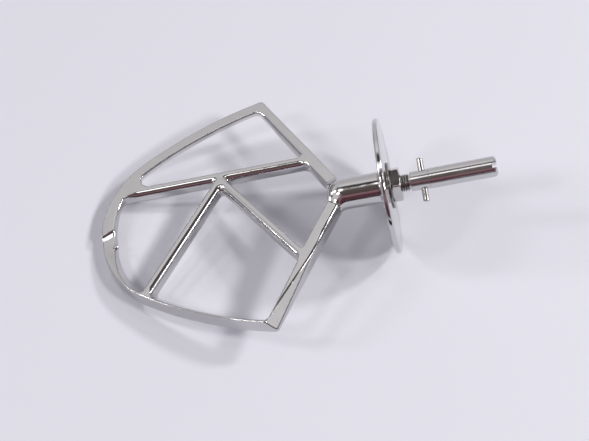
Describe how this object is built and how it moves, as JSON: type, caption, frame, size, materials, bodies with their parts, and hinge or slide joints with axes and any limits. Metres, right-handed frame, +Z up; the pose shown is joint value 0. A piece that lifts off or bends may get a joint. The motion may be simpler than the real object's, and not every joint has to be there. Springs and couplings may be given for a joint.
{
  "type": "stand mixer flat beater",
  "caption": "Flat K-shaped beater for a stand mixer: polished steel loop with a spine and slanting legs, splash disc, lock nut and a pinned drive shaft.",
  "frame": {"origin": "on the ground under the middle of the part's box, with the part lying on its disc's rim and its tip", "axes": "+X runs from the tip to the drive end, level; +Y across the frame; +Z up"},
  "size_m": [0.1862, 0.1296, 0.0626],
  "materials": {
    "cast_steel": "polished casting",
    "disc_steel": "polished sheet",
    "washer_steel": "plain turned",
    "nut_steel": "machined",
    "shaft_steel": "turned and polished",
    "pin_steel": "ground"
  },
  "bodies": {
    "beater": {"beater_frame": "cast_steel", "splash_disc": "disc_steel", "lock_washer": "washer_steel", "lock_nut": "nut_steel"},
    "shaft": {"drive_shaft": "shaft_steel", "drive_pin": "pin_steel"}
  },
  "joints": [
    {"name": "shaft_height", "type": "slide", "parent": "beater", "child": "shaft", "axis": [0.9793, 0, 0.2023], "range_m": [-0.003, 0.006]}
  ]
}
